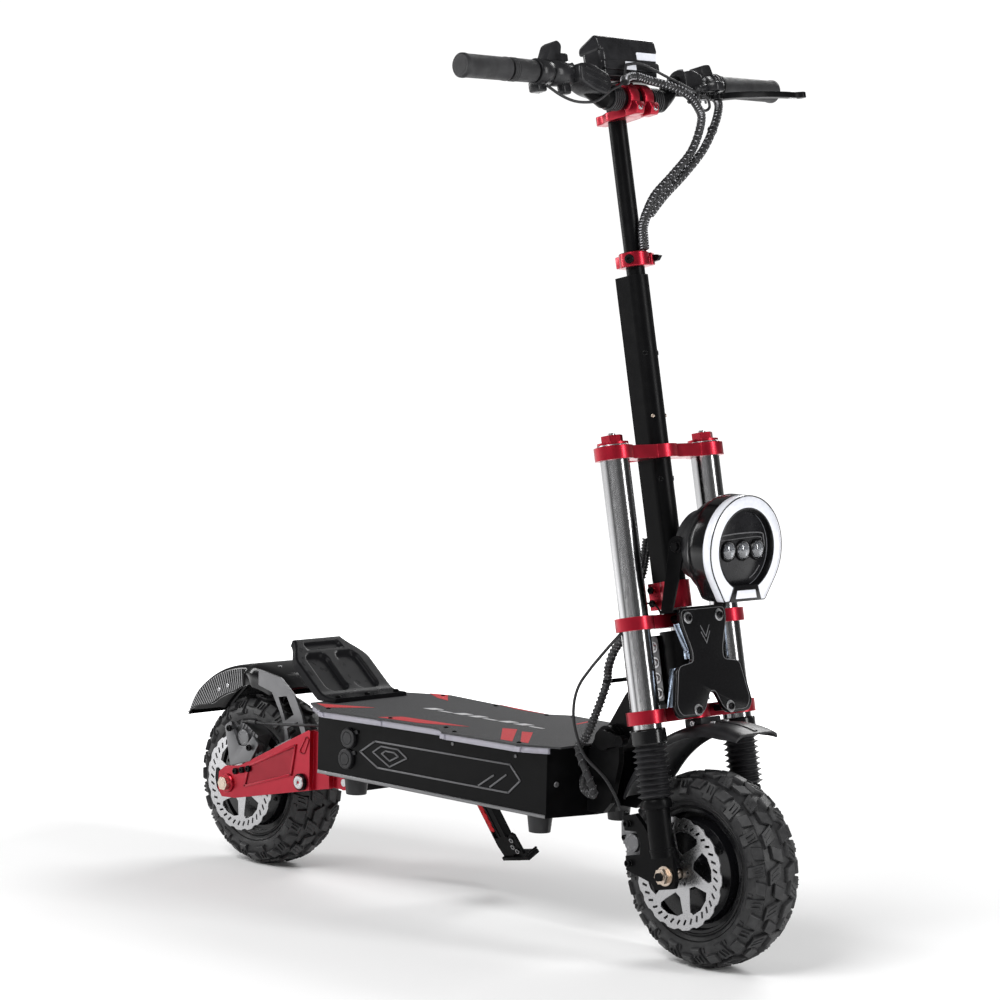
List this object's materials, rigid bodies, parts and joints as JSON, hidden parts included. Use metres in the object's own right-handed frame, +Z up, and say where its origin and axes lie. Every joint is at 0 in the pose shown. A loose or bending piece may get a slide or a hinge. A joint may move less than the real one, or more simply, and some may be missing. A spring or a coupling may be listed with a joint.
{
  "type": "electric kick scooter",
  "caption": "Folding electric kick scooter with dual-crown fork, hub motors, disc brakes, headlight and raised rear footrest.",
  "frame": {"origin": "on the ground, in the middle of the scooter's length and width", "axes": "+X forwards, +Y to the rider's left, +Z up"},
  "size_m": [1.27, 0.656, 1.3167],
  "materials": {
    "black_metal": "satin",
    "red_metal": "satin",
    "chrome_tube": "polished",
    "plain_steel": "brushed",
    "cast_alloy": "satin",
    "brass_nut": "satin",
    "black_plastic": "matte",
    "grey_plastic": "satin",
    "gloss_black": "gloss",
    "white_ring": "gloss",
    "clear_strip": "gloss",
    "lens_glass": "gloss",
    "grip_tape": "matte",
    "black_rubber": "matte",
    "tyre_rubber": "matte",
    "hub_paint": "gloss",
    "blue_wrap": "satin",
    "copper_coil": "satin"
  },
  "bodies": {
    "deck": {"deck_shell": "black_metal", "deck_board": "grip_tape", "light_strips": "clear_strip", "battery_pack": "blue_wrap", "motor_controllers": "cast_alloy", "rubber_feet": "black_rubber", "rear_footrest": "black_metal", "deck_brackets": "black_metal", "charge_ports": "black_plastic", "hinge_pins": "plain_steel"},
    "latch": {"fold_latch": "black_metal"},
    "neck": {"head_tube": "black_metal", "head_bearings": "plain_steel"},
    "fork_upper": {"steerer_tube": "plain_steel", "stem_column": "black_metal", "column_clamp": "red_metal", "upper_crown": "red_metal", "lower_crowns": "red_metal", "fork_tubes": "chrome_tube", "fork_caps": "red_metal", "fork_collars": "black_metal", "badge_plate": "black_metal", "front_fender": "black_plastic", "headlight_bracket": "black_metal", "height_clamp": "red_metal"},
    "height_cam": {"height_lever": "black_metal"},
    "headlight": {"headlight_housing": "black_plastic", "headlight_lenses": "lens_glass", "headlight_ring": "white_ring"},
    "fork_lower": {"fork_boots": "black_rubber", "fork_legs": "black_metal", "front_axle": "brass_nut", "front_stator": "copper_coil", "front_caliper": "cast_alloy", "fork_springs": "plain_steel"},
    "front_wheel": {"front_tyre": "tyre_rubber", "front_hub": "hub_paint", "front_rotor": "plain_steel"},
    "rear_arm": {"swingarm": "red_metal", "rear_axle": "brass_nut", "rear_stator": "copper_coil", "rear_caliper": "cast_alloy", "fender_bracket": "cast_alloy", "rear_fender": "gloss_black"},
    "rear_wheel": {"rear_tyre": "tyre_rubber", "rear_hub": "hub_paint", "rear_rotor": "plain_steel"},
    "shock_upper": {"shock_body": "black_metal", "shock_spring": "red_metal"},
    "shock_lower": {"shock_rod": "plain_steel"},
    "stand": {"kickstand": "black_metal"},
    "bars": {"stem_tube": "black_metal", "bar_clamp": "red_metal", "handlebar": "black_metal", "grips": "black_rubber", "display": "black_plastic", "control_housings": "black_plastic"},
    "lever": {"brake_lever": "black_metal"},
    "throttle": {"twist_throttle": "black_rubber"},
    "buttons": {"switch_buttons": "grey_plastic"}
  },
  "joints": [
    {"name": "stem_fold", "type": "hinge", "parent": "deck", "child": "neck", "pos_m": [0.323, 0, 0.306], "axis": [0, -1, 0], "range_deg": [0, 78]},
    {"name": "fold_latch", "type": "hinge", "parent": "deck", "child": "latch", "pos_m": [0.323, 0, 0.306], "axis": [0, -1, 0], "range_deg": [0, 60]},
    {"name": "steering", "type": "hinge", "parent": "neck", "child": "fork_upper", "pos_m": [0.4334, 0, 0.4234], "axis": [-0.2023, 0, 0.9793], "range_deg": [-35, 35]},
    {"name": "front_suspension", "type": "slide", "parent": "fork_upper", "child": "fork_lower", "axis": [-0.2023, 0, 0.9793], "range_m": [0, 0.03], "deforming": ["fork_springs", "fork_boots"]},
    {"name": "front_wheel_spin", "type": "hinge", "parent": "fork_lower", "child": "front_wheel", "pos_m": [0.495, 0, 0.14], "axis": [0, 1, 0], "continuous": true},
    {"name": "headlight_tilt", "type": "hinge", "parent": "fork_upper", "child": "headlight", "pos_m": [0.464, 0, 0.598], "axis": [0, 1, 0], "range_deg": [-12, 15]},
    {"name": "height_lever", "type": "hinge", "parent": "fork_upper", "child": "height_cam", "pos_m": [0.29059, 0, 0.99125], "axis": [0, -1, 0], "range_deg": [0, 80]},
    {"name": "stem_height", "type": "slide", "parent": "fork_upper", "child": "bars", "axis": [-0.2023, 0, 0.9793], "range_m": [-0.18, 0.03]},
    {"name": "brake_lever", "type": "hinge", "parent": "bars", "child": "lever", "pos_m": [0.32002, 0.162, 1.23933], "axis": [-0.2023, 0, 0.9793], "range_deg": [0, 16]},
    {"name": "throttle_twist", "type": "hinge", "parent": "bars", "child": "throttle", "pos_m": [0.28578, -0.2, 1.25676], "axis": [0, 1, 0], "range_deg": [0, 45]},
    {"name": "button_press", "type": "slide", "parent": "bars", "child": "buttons", "axis": [0.2023, 0, -0.9793], "range_m": [0, 0.0015]},
    {"name": "rear_swing", "type": "hinge", "parent": "deck", "child": "rear_arm", "pos_m": [-0.203, 0, 0.174], "axis": [0, 1, 0], "range_deg": [0, 6]},
    {"name": "rear_wheel_spin", "type": "hinge", "parent": "rear_arm", "child": "rear_wheel", "pos_m": [-0.465, 0, 0.14], "axis": [0, 1, 0], "continuous": true},
    {"name": "shock_swivel", "type": "hinge", "parent": "deck", "child": "shock_upper", "pos_m": [-0.249, 0, 0.268], "axis": [0, 1, 0], "range_deg": [0, 3]},
    {"name": "shock_stroke", "type": "slide", "parent": "shock_upper", "child": "shock_lower", "axis": [0.3246, 0, 0.9459], "range_m": [0, 0.0095], "deforming": ["shock_spring"]},
    {"name": "kickstand", "type": "hinge", "parent": "deck", "child": "stand", "pos_m": [-0.085, 0.09, 0.172], "axis": [0, 0.8942, 0.4478], "range_deg": [0, 98]}
  ],
  "couplings": [
    {"joint": "shock_swivel", "follows": "rear_swing", "ratio": 0.2994},
    {"joint": "shock_stroke", "follows": "rear_swing", "m_per_rad": 0.075185}
  ]
}
